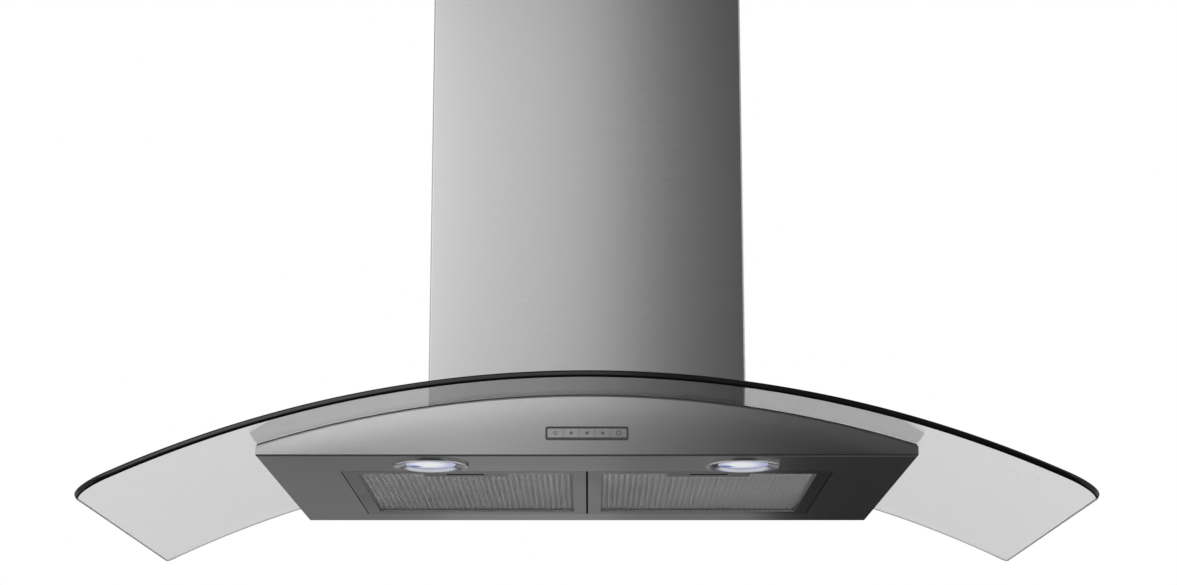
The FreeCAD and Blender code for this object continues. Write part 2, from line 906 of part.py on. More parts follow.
def scroll_solid(grow, x_range):
    # spiral of three quarter arcs, each wider by one step, then the straight rear wall
    y = axle_offset
    z = axle_z
    shift = scroll_step
    first = scroll_start_radius + grow
    second = first + shift
    third = second + shift
    slant = math.sqrt(0.5)
    top = box_top - sheet
    x = x_range[0]

    def point(dy, dz):
        return Vector(x, y + dy, z + dz)

    edges = [
        Part.Arc(point(0, first), point(-first * slant, first * slant), point(-first, 0)),
        Part.Arc(
            point(-first, 0), point(shift - second * slant, -second * slant), point(shift, -second)
        ),
        Part.Arc(
            point(shift, -second),
            point(shift + third * slant, shift - third * slant),
            point(shift + third, shift),
        ),
        Part.LineSegment(point(shift + third, shift), point(shift + third, top - z)),
        Part.LineSegment(point(shift + third, top - z), point(0, top - z)),
        Part.LineSegment(point(0, top - z), point(0, first)),
    ]
    wire = Part.Wire([edge.toShape() for edge in edges])
    return Part.Face(wire).extrude(Vector(x_range[1] - x_range[0], 0, 0))


def outlet_wall(x_range, thickness):
    # slanted wall from the tongue up to the outlet
    top = box_top - sheet
    tongue = axle_z + scroll_start_radius
    outlet_front = -outlet_depth / 2
    corners = [
        (axle_offset, tongue),
        (outlet_front, top),
        (outlet_front - thickness, top),
        (axle_offset - thickness, tongue),
    ]
    points = [Vector(x_range[0], y, z) for y, z in corners]
    return Part.Face(Part.makePolygon(points + points[:1])).extrude(Vector(x_range[1] - x_range[0], 0, 0))


def outlet_fill(x_range):
    return outlet_wall(x_range, -outlet_depth / 4)


def blower_scroll():
    wide = (-scroll_width / 2, scroll_width / 2)
    band = scroll_solid(scroll_sheet, wide).cut(scroll_solid(0.0, wide))
    return band.fuse(outlet_wall(wide, scroll_sheet)).removeSplitter()


def blower_side(side):
    inner = side * scroll_width / 2
    outer = side * (scroll_width / 2 + scroll_sheet)
    wide = sorted((inner, outer))
    plate = scroll_solid(scroll_sheet, wide)
    plate = plate.fuse(outlet_wall(wide, scroll_sheet)).fuse(outlet_fill(wide))
    axis = (axle_offset, axle_z)
    plate = plate.cut(rod(inlet_radius, (-far, *axis), (far, *axis)))
    lip = tube(
        inlet_radius + inlet_ring, inlet_radius,
        (side * (scroll_width / 2 - inlet_ring_length), *axis), (outer, *axis),
    )
    return plate.fuse(lip).removeSplitter()


def blower_wheel():
    # disc with its hub, and the two end rings
    axis = (axle_offset, axle_z)
    half = wheel_width / 2
    web = rod(wheel_radius, (-wheel_web / 2, *axis), (wheel_web / 2, *axis))
    hub = rod(hub_radius, (hub_gap - motor_gap, *axis), (shaft_reach - wheel_web, *axis))
    bore = rod(shaft_radius, (-far, *axis), (far, *axis))
    wheel = [web.fuse(hub).cut(bore).removeSplitter()]
    for side in (-1, 1):
        start = (side * (half - wheel_ring), *axis)
        wheel.append(tube(wheel_radius, wheel_inner_radius, start, (side * half, *axis)))
    return wheel


def wheel_blades():
    # a row on each side of the disc, from the disc to the end ring
    blades = []
    for side in (-1, 1):
        span = sorted((side * wheel_web / 2, side * (wheel_width / 2 - wheel_ring)))
        for index in range(blade_count):
            blades.append(wheel_blade(span, index * 360 / blade_count))
    return blades


def wheel_blade(x_range, turn):
    blade = block(
        x_range,
        (axle_offset - blade_thickness / 2, axle_offset + blade_thickness / 2),
        (axle_z + wheel_inner_radius, axle_z + wheel_radius - blade_thickness),
    )
    root = Vector(0, axle_offset, axle_z + wheel_inner_radius + blade_depth / 2)
    blade.rotate(root, Vector(1, 0, 0), blade_lean)
    blade.rotate(Vector(0, axle_offset, axle_z), Vector(1, 0, 0), turn)
    return blade


def motor_shaft():
    return rod(
        shaft_radius, (shaft_reach - shaft_length, axle_offset, axle_z), (shaft_reach, axle_offset, axle_z)
    )


def motor_span():
    return -motor_gap - motor_length, -motor_gap


def motor_body():
    left, right = motor_span()
    motor = rod(motor_radius, (left, axle_offset, axle_z), (right, axle_offset, axle_z))
    bore_end = shaft_reach - shaft_length - shaft_play
    bore = rod(shaft_radius + shaft_play, (bore_end, axle_offset, axle_z), (right, axle_offset, axle_z))
    return motor.cut(bore)


def motor_bracket():
    left = motor_span()[0]
    plate_face = -scroll_width / 2 - scroll_sheet
    bracket = rod(2 * hub_radius, (left - bracket_thickness, axle_offset, axle_z), (left, axle_offset, axle_z))
    for turn in (90, 210, 330):
        arm = block(
            (left - bracket_thickness, left),
            (axle_offset - bracket_arm_width / 2, axle_offset + bracket_arm_width / 2),
            (axle_z, axle_z + bracket_reach),
        )
        foot = block(
            (left - bracket_thickness, plate_face),
            (axle_offset - bracket_arm_width / 2, axle_offset + bracket_arm_width / 2),
            (axle_z + bracket_reach - bracket_foot, axle_z + bracket_reach),
        )
        arm = arm.fuse(foot)
        arm.rotate(Vector(0, axle_offset, axle_z), Vector(1, 0, 0), turn)
        bracket = bracket.fuse(arm)
    return bracket.removeSplitter()


# Outlet collar and flaps

flap_level = box_top + ledge_rise + ledge_thickness + flap_play + flap_thickness / 2


def outlet_collar():
    inner = collar_radius - collar_wall
    collar = tube(collar_radius, inner, (0, 0, box_top), (0, 0, box_top + collar_height))
    flange = tube(
        collar_radius + collar_flange, inner, (0, 0, box_top), (0, 0, box_top + collar_flange_thickness)
    )
    ledge_low = box_top + ledge_rise
    ledge = tube(inner, inner - ledge_width, (0, 0, ledge_low), (0, 0, ledge_low + ledge_thickness))
    collar = collar.fuse(flange).fuse(ledge)
    pin_hole = rod(flap_pin_radius, (-collar_radius, 0, flap_level), (collar_radius, 0, flap_level))
    return collar.cut(pin_hole).removeSplitter()


def flap_pin():
    return rod(flap_pin_radius, (-collar_radius, 0, flap_level), (collar_radius, 0, flap_level))


def damper_flap(face):
    radius = collar_radius - collar_wall - flap_edge_gap
    level = (flap_level - flap_thickness / 2, flap_level + flap_thickness / 2)
    start = knuckle_radius + flap_play
    plate = rod(radius, (0, 0, level[0]), (0, 0, level[1]))
    plate = plate.common(block((-radius, radius), sorted((face * start, face * radius)), level))
    length = knuckle_span / 2
    for index in range(4):
        if (index % 2 == 0) == (face < 0):
            low = -knuckle_span + index * length + knuckle_gap / 2
            high = low + length - knuckle_gap
            arm = block((low, high), sorted((0.0, face * (start + sheet))), level)
            knuckle = rod(knuckle_radius, (low, 0, flap_level), (high, 0, flap_level))
            plate = plate.fuse(arm).fuse(knuckle)
    bore = rod(flap_pin_radius + flap_pin_play, (-radius, 0, flap_level), (radius, 0, flap_level))
    return plate.cut(bore).removeSplitter()


# Electric parts

def control_box():
    x = control_box_x
    top = box_top + control_box_height
    wall = control_box_wall
    box = centred(control_box_width, control_box_length, (box_top, top), x)
    inner = centred(
        control_box_width - 2 * wall, control_box_length - 2 * wall, (box_top + wall, top - wall), x
    )
    hole = rod(gland_bore, (x, gland_offset, top - 2 * wall), (x, gland_offset, top + wall))
    return box.cut(inner).cut(hole)


def cable_gland():
    low = box_top + control_box_height
    start = (control_box_x, gland_offset, low)
    end = (control_box_x, gland_offset, low + gland_length)
    flange = rod(gland_flange, start, (control_box_x, gland_offset, low + gland_flange_height))
    body = rod(gland_radius, start, end)
    bore = rod(gland_bore, start, end)
    return flange.fuse(body).cut(bore).removeSplitter()


def motor_capacitor():
    x = box_width / 2 - electric_margin - capacitor_width / 2
    return centred(capacitor_width, capacitor_length, (box_top, box_top + capacitor_height), x)


side_names = {-1: "left", 1: "right"}

save("ceiling_plate", ceiling_plate())
save("hanger_screws", *hanger_screws())
save("upper_uprights", *upper_uprights())
for half_name, half in zip(("front", "rear"), upper_chimney()):
    save("upper_chimney_" + half_name, half)

save("lower_uprights", *lower_uprights())
save("frame_brace", frame_brace())
save("clamp_bolts", *clamp_bolts())
for half_name, half in zip(("front", "rear"), lower_chimney()):
    save("lower_chimney_" + half_name, half)
save("chimney_screws", *chimney_screws())
save("base_frame", base_frame())
save("upper_glass_seal", upper_glass_seal())
save("glass_canopy", glass_canopy())
save("lower_glass_seal", *lower_glass_seal())
save("glass_bolts", *glass_bolts())
save("body_shell", body_shell())
save("body_top_plate", body_top_plate())

save("panel_bezel", panel_bezel())
for number in range(button_count):
    save("button_" + str(number + 1), button(number))
save("switch_board", switch_board())
save("tact_switches", *tact_switches())
save("switch_housing", switch_housing())
save("lamp_driver", lamp_driver())
save("lamp_leads", *lamp_leads())
save("lamp_clips", *lamp_clips())

for side, side_name in side_names.items():
    save("lamp_ring_" + side_name, lamp_ring(side * lamp_spacing / 2))
    save("lamp_lens_" + side_name, lamp_lens(side * lamp_spacing / 2))
    save("lamp_can_" + side_name, lamp_can(side * lamp_spacing / 2))
    save("filter_frame_" + side_name, filter_frame(side))
    save("filter_mesh_" + side_name, filter_mesh(side))
    save("latch_plate_" + side_name, latch_plate(side))
    save("latch_slide_" + side_name, latch_slide(side))
    save("blower_side_" + side_name, blower_side(side))

save("motor_box", motor_box())
save("blower_scroll", blower_scroll())
save("blower_wheel", *blower_wheel())
save("wheel_blades", *wheel_blades())
save("motor_shaft", motor_shaft())
save("motor_body", motor_body())
save("motor_bracket", motor_bracket())
save("outlet_collar", outlet_collar())
save("flap_pin", flap_pin())
save("flap_front", damper_flap(-1))
save("flap_rear", damper_flap(1))
save("control_box", control_box())
save("cable_gland", cable_gland())
save("motor_capacitor", motor_capacitor())
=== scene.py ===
import json
import math

import bpy
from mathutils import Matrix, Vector


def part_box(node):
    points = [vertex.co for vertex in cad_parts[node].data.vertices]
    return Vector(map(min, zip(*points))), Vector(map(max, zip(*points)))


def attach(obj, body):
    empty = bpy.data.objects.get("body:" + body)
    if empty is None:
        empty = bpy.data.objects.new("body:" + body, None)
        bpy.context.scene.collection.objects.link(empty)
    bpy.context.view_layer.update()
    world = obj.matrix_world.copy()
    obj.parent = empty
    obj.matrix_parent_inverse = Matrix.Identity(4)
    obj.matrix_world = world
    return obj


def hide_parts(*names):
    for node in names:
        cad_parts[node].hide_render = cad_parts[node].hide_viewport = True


# Island range hood with a bent glass canopy. Metres, Z up, the front faces -Y.
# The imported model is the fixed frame; this script gives it its finishes, glass, lamps and meshes.

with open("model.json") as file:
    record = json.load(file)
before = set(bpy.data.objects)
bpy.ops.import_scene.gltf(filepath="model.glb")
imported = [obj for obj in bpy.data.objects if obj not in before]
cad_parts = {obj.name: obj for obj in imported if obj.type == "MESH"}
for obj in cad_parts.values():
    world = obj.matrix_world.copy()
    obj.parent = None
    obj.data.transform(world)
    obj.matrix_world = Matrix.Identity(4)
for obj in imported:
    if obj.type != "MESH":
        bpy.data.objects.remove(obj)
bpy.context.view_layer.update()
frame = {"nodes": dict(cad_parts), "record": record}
nodes = frame["nodes"]
scene = bpy.context.scene
mm = 0.001

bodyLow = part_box("body_shell")[0]
print("frame loaded,", len(nodes), "nodes")


# A value in a node tree. Sums and products of values add their own Math nodes.
class Value:
    def __init__(self, finish, socket):
        self.finish = finish
        self.socket = socket

    def math(self, operation, *others):
        inputs = dict(enumerate([self, *others]))
        return self.finish.node("ShaderNodeMath", {"operation": operation}, inputs)

    def __add__(self, other):
        return self.math("ADD", other)

    def __radd__(self, other):
        return self.math("ADD", other)

    def __sub__(self, other):
        return self.math("SUBTRACT", other)

    def __rsub__(self, other):
        return self.finish.node("ShaderNodeMath", {"operation": "SUBTRACT"}, {0: other, 1: self})

    def __mul__(self, other):
        return self.math("MULTIPLY", other)

    def __rmul__(self, other):
        return self.math("MULTIPLY", other)

    def __gt__(self, other):
        return self.math("GREATER_THAN", other)

    def __lt__(self, other):
        return self.math("LESS_THAN", other)


# A material or world under construction
class Finish:
    def __init__(self, owner, outputKind="ShaderNodeOutputMaterial"):
        self.owner = owner
        owner.use_nodes = True
        self.tree = owner.node_tree
        self.tree.nodes.clear()
        self.output = self.tree.nodes.new(outputKind)

    # any node: its settings come first, then the values or links of its sockets
    def node(self, kind, settings, inputs, output=0):
        made = self.tree.nodes.new(kind)
        for name, setting in settings.items():
            setattr(made, name, setting)
        for name, value in inputs.items():
            if isinstance(value, Value):
                self.tree.links.new(value.socket, made.inputs[name])
            else:
                made.inputs[name].default_value = value
        return Value(self, made.outputs[output])

    def surface(self, shader):
        self.tree.links.new(shader.socket, self.output.inputs["Surface"])
        return self.owner

    # where a point lies on the object, stretched by a scale for each axis
    def place(self, scale=(1, 1, 1), centre=(0, 0, 0)):
        where = self.node("ShaderNodeTexCoord", {}, {}, "Object")
        offset = tuple(-c * s for c, s in zip(centre, scale))
        sockets = {"Vector": where, "Scale": scale, "Location": offset}
        return self.node("ShaderNodeMapping", {}, sockets)

    def noise(self, scale, detail=2.0, roughness=0.5):
        sockets = {"Vector": self.place(scale), "Scale": 1.0, "Detail": detail,
                   "Roughness": roughness}
        return self.node("ShaderNodeTexNoise", {}, sockets, "Fac")

    def between(self, value, low, high):
        return self.node("ShaderNodeMapRange", {}, {"Value": value, "To Min": low, "To Max": high})

    # a Mix node takes its two colours in sockets 6 and 7, and gives their blend in output 2
    def blend(self, factor, first, second):
        sockets = {"Factor": factor, 6: first, 7: second}
        return self.node("ShaderNodeMix", {"data_type": "RGBA"}, sockets, 2)

    def bump(self, height, strength, distance):
        sockets = {"Height": height, "Strength": strength, "Distance": distance}
        return self.node("ShaderNodeBump", {}, sockets)

    def shader(self, inputs):
        return self.node("ShaderNodeBsdfPrincipled", {}, inputs)


def newFinish(name):
    return Finish(bpy.data.materials.new(name))


def give(material, *names):
    for name in names:
        slots = nodes[name].data.materials
        slots.clear()
        slots.append(material)


def rgb(shade, warm=0.0):
    return (shade * (1 + warm), shade, shade * (1 - warm), 1.0)


# the same colour, brighter or darker
def scaled(colour, factor):
    return tuple(channel * factor for channel in colour[:3]) + (1.0,)


# this share of the second value, and the rest of the first
def mixed(first, second, share):
    return first * (1 - share) + second * share


def around(value, spread):
    return value - spread, value + spread


steelLook = {
    "shade": 0.60,
    "bodyShade": 0.55,
    "shadeSpread": 0.05,
    "warmth": 0.004,
    "roughness": 0.30,
    "roughnessSpread": 0.07,
    "grain": (9, 9, 1400),       # grain lies level on the upright faces
    "flatGrain": (9, 1400, 9),   # and from left to right on the level ones
    "grainDetail": (3.0, 0.6),
    "levelFrom": 0.6,            # faces that look up or down more than this count as level
    "cloud": (3, 3, 3),
    "cloudShare": 0.3,
    "relief": 0.08,
    "reliefDepth": 0.2 * mm,
    "anisotropy": 0.6,
    "grainTurn": 0.25,
}


def brushedSteel(name, look):
    finish = newFinish(name)
    facing = finish.node("ShaderNodeTexCoord", {}, {}, "Normal")
    upward = finish.node("ShaderNodeSeparateXYZ", {}, {"Vector": facing}, "Z").math("ABSOLUTE")
    level = upward > look["levelFrom"]
    upright = finish.noise(look["grain"], *look["grainDetail"])
    flat = finish.noise(look["flatGrain"], *look["grainDetail"])
    grain = mixed(upright, flat, level)
    cloud = finish.noise(look["cloud"])
    dark, light = (rgb(shade, look["warmth"])
                   for shade in around(look["shade"], look["shadeSpread"]))
    common = {
        "Base Color": finish.blend(grain, dark, light), "Metallic": 1.0,
        "Roughness": finish.between(mixed(grain, cloud, look["cloudShare"]),
                                    *around(look["roughness"], look["roughnessSpread"])),
        "Normal": finish.bump(grain, look["relief"], look["reliefDepth"]),
    }
    brushed = {"Anisotropic": look["anisotropy"], "Anisotropic Rotation": look["grainTurn"]}
    faces = {0: level, 1: finish.shader({**common, **brushed}), 2: finish.shader(common)}
    return finish.surface(finish.node("ShaderNodeMixShader", {}, faces))


# other metals: cast, anodised, plated or plain, with a fine grain of their own
metalLooks = {
    "filter_aluminium": {"shade": 0.38, "roughness": 0.30, "grain": (700, 700, 700), "dent": 0.05},
    "mesh_aluminium": {"shade": 0.70, "roughness": 0.42, "grain": (500, 500, 500), "dent": 0.10},
    # the dark sheet behind the strands: painted shade
    "mesh_shade": {"shade": 0.30, "roughness": 0.55, "grain": (300, 300, 300), "dent": 0.10},
    "latch_metal": {"shade": 0.34, "roughness": 0.30, "grain": (30, 900, 900), "dent": 0.06},
    # near black latch slides: painted shade for the shadowed finger slot
    "latch_pull": {"shade": 0.09, "roughness": 0.45, "grain": (30, 900, 900), "dent": 0.06},
    "lamp_chrome": {"shade": 0.42, "roughness": 0.20, "grain": (600, 600, 600), "dent": 0.01},
    "lamp_aluminium": {"shade": 0.60, "roughness": 0.38, "grain": (60, 60, 1500), "dent": 0.12},
    "bolt_steel": {"shade": 0.62, "roughness": 0.26, "grain": (900, 900, 900), "dent": 0.05},
    "flap_aluminium": {"shade": 0.68, "roughness": 0.33, "grain": (20, 1100, 1100), "dent": 0.05},
}
metalWear = {
    "grainDetail": (2.0, 0.6),
    "cloud": (14, 14, 14),
    "cloudDetail": 3.0,
    "share": 0.4,                # of cloud in the shade, and of grain in the roughness
    "shadeSpread": 0.09,
    "roughnessSpread": 0.20,
    "reliefDepth": 0.2 * mm,
}


def satinMetal(name, look):
    finish = newFinish(name)
    grain = finish.noise(look["grain"], *metalWear["grainDetail"])
    cloud = finish.noise(metalWear["cloud"], metalWear["cloudDetail"])
    shade, rough, share = look["shade"], look["roughness"], metalWear["share"]
    dark, light = (rgb(tone) for tone in around(shade, shade * metalWear["shadeSpread"]))
    return finish.surface(finish.shader({
        "Base Color": finish.blend(mixed(grain, cloud, share), dark, light), "Metallic": 1.0,
        "Roughness": finish.between(mixed(cloud, grain, share),
                                    *around(rough, rough * metalWear["roughnessSpread"])),
        "Normal": finish.bump(grain, look["dent"], metalWear["reliefDepth"]),
    }))


# plastic, rubber, paint and ink
mouldedLooks = {
    "seal_rubber": {"colour": (0.150, 0.150, 0.152), "roughness": 0.60, "grain": 700, "dent": 0.20},
    "panel_black": {"colour": (0.200, 0.200, 0.202), "roughness": 0.45, "grain": 900, "dent": 0.04},
    "board_green": {"colour": (0.035, 0.190, 0.090), "roughness": 0.34, "grain": 260, "dent": 0.10},
    "switch_plastic": {
        "colour": (0.045, 0.045, 0.047), "roughness": 0.46, "grain": 1100, "dent": 0.10},
    "housing_plastic": {
        "colour": (0.115, 0.117, 0.120), "roughness": 0.50, "grain": 1300, "dent": 0.14},
    "motor_paint": {"colour": (0.085, 0.087, 0.095), "roughness": 0.36, "grain": 420, "dent": 0.16},
    "wheel_plastic": {
        "colour": (0.320, 0.330, 0.350), "roughness": 0.44, "grain": 900, "dent": 0.12},
    "symbol_ink": {"colour": (0.240, 0.240, 0.242), "roughness": 0.42, "grain": 1500, "dent": 0.05},
}
mouldedWear = {
    "pitDetail": (2.0, 0.55),
    "cloud": (25, 25, 25),
    "cloudDetail": 3.0,
    "pitShade": 0.4,             # how much the pits say in the colour
    "pitRoughness": 0.5,         # and in the roughness
    "shadeSpread": 0.14,
    "roughnessSpread": 0.18,
    "reliefDepth": 0.3 * mm,
}


def moulded(name, look):
    finish = newFinish(name)
    pits = finish.noise((look["grain"],) * 3, *mouldedWear["pitDetail"])
    cloud = finish.noise(mouldedWear["cloud"], mouldedWear["cloudDetail"])
    rough = look["roughness"]
    dark, light = (scaled(look["colour"], factor)
                   for factor in around(1, mouldedWear["shadeSpread"]))
    return finish.surface(finish.shader({
        "Base Color": finish.blend(mixed(cloud, pits, mouldedWear["pitShade"]), dark, light),
        "Roughness": finish.between(mixed(cloud, pits, mouldedWear["pitRoughness"]),
                                    *around(rough, rough * mouldedWear["roughnessSpread"])),
        "Normal": finish.bump(pits, look["dent"], mouldedWear["reliefDepth"]),
    }))


zincLook = {
    "spangle": 115,              # crystals to a metre
    "drift": (40, 40, 40),
    "driftShare": 0.25,
    "fine": (900, 900, 900),
    "dark": 0.56,
    "light": 0.70,
    "warmth": -0.008,
    "smooth": 0.30,
    "dull": 0.48,
    "relief": 0.05,
    "spangleRelief": 0.6,
    "reliefDepth": 0.3 * mm,
}


# hot-dip zinc: crystals about a centimetre across, each with its own tone and dullness
def spangledZinc(name, look):
    finish = newFinish(name)
    drift = finish.noise(look["drift"])
    spangle = {"Vector": finish.place(), "Scale": look["spangle"]}
    crystal = finish.node("ShaderNodeTexVoronoi", {}, spangle, "Color")
    tone = finish.node("ShaderNodeSeparateColor", {}, {"Color": crystal}, "Red")
    fine = finish.noise(look["fine"])
    dullness = mixed(tone, drift, look["driftShare"])
    dark, light = (rgb(look[end], look["warmth"]) for end in ("dark", "light"))
    return finish.surface(finish.shader({
        "Base Color": finish.blend(dullness, dark, light), "Metallic": 1.0,
        "Roughness": finish.between(dullness, look["smooth"], look["dull"]),
        "Normal": finish.bump(mixed(fine, tone, look["spangleRelief"]), look["relief"],
                              look["reliefDepth"]),
    }))


finishes = {
    "chimney_steel": brushedSteel("chimneySteel", steelLook),
    "body_steel": brushedSteel("bodySteel", {**steelLook, "shade": steelLook["bodyShade"]}),
    "zinc_sheet": spangledZinc("zincSheet", zincLook),
}
finishes["button_grey"] = finishes["body_steel"]     # the buttons are capped in the body's steel
for slot, look in metalLooks.items():
    finishes[slot] = satinMetal(slot, look)
for slot, look in mouldedLooks.items():
    finishes[slot] = moulded(slot, look)
for part in frame["record"]["subparts"]:
    if part["material_slot"] in finishes:
        give(finishes[part["material_slot"]], part["node"])
# the latch slides are painted dark as the shade in the finger slot
give(finishes["latch_pull"], "latch_slide_left", "latch_slide_right")
print("finishes made:", len(finishes))


weldGap = 0.01 * mm


def clearSelection():
    if bpy.context.object and bpy.context.object.mode != "OBJECT":
        bpy.ops.object.mode_set(mode="OBJECT")
    bpy.ops.object.select_all(action="DESELECT")


def choose(piece):
    clearSelection()
    piece.select_set(True)
    bpy.context.view_layer.objects.active = piece


def named(name):
    piece = bpy.context.object
    piece.name = name
    piece.data.name = name
    return piece


def editing(piece, action="SELECT"):
    choose(piece)
    bpy.ops.object.mode_set(mode="EDIT")
    bpy.ops.mesh.select_mode(type="VERT")
    bpy.ops.mesh.select_all(action=action)


def stopEditing():
    bpy.ops.object.mode_set(mode="OBJECT")


def settle(piece):
    editing(piece)
    bpy.ops.mesh.remove_doubles(threshold=weldGap)
    bpy.ops.mesh.normals_make_consistent(inside=False)
    stopEditing()


def atOrigin(piece):
    choose(piece)
    bpy.ops.object.transform_apply(location=True, rotation=True, scale=True)


def modify(piece, kind, **settings):
    choose(piece)
    modifier = piece.modifiers.new(kind.lower(), kind)
    for name, value in settings.items():
        setattr(modifier, name, value)
    bpy.ops.object.modifier_apply(modifier=modifier.name)


def carve(piece, cutter):
    modify(piece, "BOOLEAN", operation="DIFFERENCE", object=cutter, solver="EXACT")
    bpy.data.objects.remove(cutter)


# smooth shading in which the large faces stay true
def smooth(piece, degrees):
    choose(piece)
    bpy.ops.object.shade_smooth_by_angle(angle=math.radians(degrees))
    modify(piece, "WEIGHTED_NORMAL", weight=100, keep_sharp=True)


def paint(piece, *materials):
    piece.data.materials.clear()
    for material in materials:
        piece.data.materials.append(material)


def block(width, depth, height, place, name):
    clearSelection()
    bpy.ops.mesh.primitive_cube_add(size=1, location=place)
    made = named(name)
    made.scale = (width, depth, height)
    atOrigin(made)
    return made


# rounds the edges whose two ends pass the test
def roundWhere(piece, radius, steps, test):
    editing(piece, "DESELECT")
    bpy.ops.mesh.select_mode(type="EDGE")
    stopEditing()
    verts = piece.data.vertices
    for edge in piece.data.edges:
        edge.select = test(*(verts[index].co for index in edge.vertices))
    bpy.ops.object.mode_set(mode="EDIT")
    bpy.ops.mesh.bevel(offset=radius, segments=steps, affect="EDGES", profile=0.5)
    stopEditing()


# rounds the edges that run along an axis (0, 1 or 2) and start where the test says
def roundAlong(axis, piece, radius, steps, test):
    def wanted(start, end):
        return abs(start[axis] - end[axis]) > 0.9 * (start - end).length and test(start)

    roundWhere(piece, radius, steps, wanted)


canopy = {
    "thickness": 6.0 * mm,
    "frontCorner": 34.0 * mm,
    "backCorner": 8.0 * mm,
    "cornerSteps": 10,
    "edgeAngle": 50,             # edges sharper than this are ground round
    "edgeRound": 1.9 * mm,
    "edgeSteps": 3,
    "strips": 120,               # flat strips that make the bend
    "holeWidth": 216.0 * mm,
    "holeDepth": 176.0 * mm,
    "boltHole": 3.6 * mm,
    "boltHoleSides": 24,
    "boltHead": 6.0 * mm,
    "tint": (0.80, 0.80, 0.80, 1.0),
    "haze": (6, 6, 6),
    "hazeTint": 0.99,
    "hazeRoughness": 0.012,
    "refraction": 1.5,
    # painted shade for the front edge of the glass, painted light for its side and rear edges
    "paintedShadeEdge": (0.012, 0.013, 0.013, 1.0),
    "paintedLightSide": (0.40, 0.42, 0.41, 1.0),
    "edgeWave": (60, 60, 60),
    "edgeLighter": 1.3,
    "edgeRoughness": (0.10, 0.18),
    "rimFrom": 0.99,             # a face of the flat pane is on its rim if it looks up less
    "frontFrom": -0.2,           # and on the front of the rim if it looks this much forward
}


def clearGlass():
    finish = newFinish("canopyGlass")
    haze = finish.noise(canopy["haze"])
    tint = canopy["tint"]
    return finish.surface(finish.shader({
        "Base Color": finish.blend(haze, scaled(tint, canopy["hazeTint"]), tint),
        "Roughness": finish.between(haze, 0.0, canopy["hazeRoughness"]),
        "IOR": canopy["refraction"], "Transmission Weight": 1.0,
    }))


# painted light and shade on the glass rim: the front edge is painted near black, as it looks along
# the pane, and the side and rear edges are painted pale where they catch the light
def edgeWithPaintedLight(name, shade):
    finish = newFinish(name)
    wave = finish.noise(canopy["edgeWave"])
    return finish.surface(finish.shader({
        "Base Color": finish.blend(wave, shade, scaled(shade, canopy["edgeLighter"])),
        "Roughness": finish.between(wave, *canopy["edgeRoughness"]), "IOR": canopy["refraction"],
    }))


# a flat pane with its rim, hole and bolt holes, cut into strips and then bent over an arc
def glassCanopy():
    low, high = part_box("glass_canopy")
    thick = canopy["thickness"]
    rise = high.z - low.z
    outer = (high.x ** 2 + rise ** 2 - thick ** 2) / (2 * (rise - thick))
    middle = outer - thick / 2
    axisHeight = high.z - outer
    halfWidth = middle * math.asin(high.x / outer)
    centreY = (low.y + high.y) / 2
    pane = block(2 * halfWidth, high.y - low.y, thick, (0, centreY, 0), "canopyPane")
    paint(pane, clearGlass(), edgeWithPaintedLight("glassEdgePaintedShade", canopy["paintedShadeEdge"]),
          edgeWithPaintedLight("glassSidePaintedLight", canopy["paintedLightSide"]))
    steps = canopy["cornerSteps"]
    roundAlong(2, pane, canopy["frontCorner"], steps, lambda start: start.y < centreY)
    roundAlong(2, pane, canopy["backCorner"], steps, lambda start: start.y > centreY)
    editing(pane, "DESELECT")
    bpy.ops.mesh.select_mode(type="EDGE")
    bpy.ops.mesh.edges_select_sharp(sharpness=math.radians(canopy["edgeAngle"]))
    bpy.ops.mesh.bevel(offset=canopy["edgeRound"], segments=canopy["edgeSteps"], affect="EDGES")
    stopEditing()
    # rim faces take an opaque colour instead of glass: painted shade at the front, painted light at
    # the sides and back
    for face in pane.data.polygons:
        if abs(face.normal.z) < canopy["rimFrom"]:
            face.material_index = 1 if face.normal.y < canopy["frontFrom"] else 2
    carve(pane, block(canopy["holeWidth"], canopy["holeDepth"], 4 * thick, (0, 0, 0), "cutter"))
    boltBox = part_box("glass_bolts")[1]
    for side in (-1, 1):
        for end in (-1, 1):
            x = side * (boltBox.x - canopy["boltHead"])
            y = end * (boltBox.y - canopy["boltHead"])
            clearSelection()
            bpy.ops.mesh.primitive_cylinder_add(
                vertices=canopy["boltHoleSides"], radius=canopy["boltHole"], depth=4 * thick,
                location=(x, y, 0))
            cutter = named("cutter")
            atOrigin(cutter)
            carve(pane, cutter)
    editing(pane)
    for index in range(1, canopy["strips"]):
        x = halfWidth * (2 * index / canopy["strips"] - 1)
        bpy.ops.mesh.select_all(action="SELECT")
        bpy.ops.mesh.bisect(plane_co=(x, 0, 0), plane_no=(1, 0, 0))
    stopEditing()
    for vert in pane.data.vertices:
        angle = vert.co.x / middle
        radius = middle + vert.co.z
        vert.co = (radius * math.sin(angle), vert.co.y, axisHeight + radius * math.cos(angle))
    settle(pane)
    smooth(pane, degrees=30)
    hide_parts("glass_canopy")
    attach(pane, "hood")
    return pane


canopyPane = glassCanopy()
print("glass canopy made")


filterPack = {
    "across": 5.6 * mm,          # one diamond of the expanded mesh
    "along": 11.0 * mm,
    "strand": 1.3 * mm,
    "flatness": 0.55,
    "spare": 2,                  # diamonds beyond the edge, which are trimmed off
    "weld": 0.1 * mm,
    "layerGap": 1.25 * mm,
    "layerShift": 0.3,           # of a diamond
    "backing": 1.2 * mm,
    "backingSheet": 0.3 * mm,
    "backingSteps": (42, 52),
    "crease": 0.25 * mm,
    "shortWaves": (610, 430),    # of the creases, in radians to a metre
    "longWaves": (190, 260),
}


def joined(name, *pieces):
    clearSelection()
    for piece in pieces:
        piece.select_set(True)
    bpy.context.view_layer.objects.active = pieces[0]
    bpy.ops.object.join()
    return named(name)


def duplicate(piece, name, offset, turn=0.0):
    choose(piece)
    bpy.ops.object.duplicate()
    copy = named(name)
    copy.location = offset
    copy.rotation_euler.z = turn
    atOrigin(copy)
    return copy


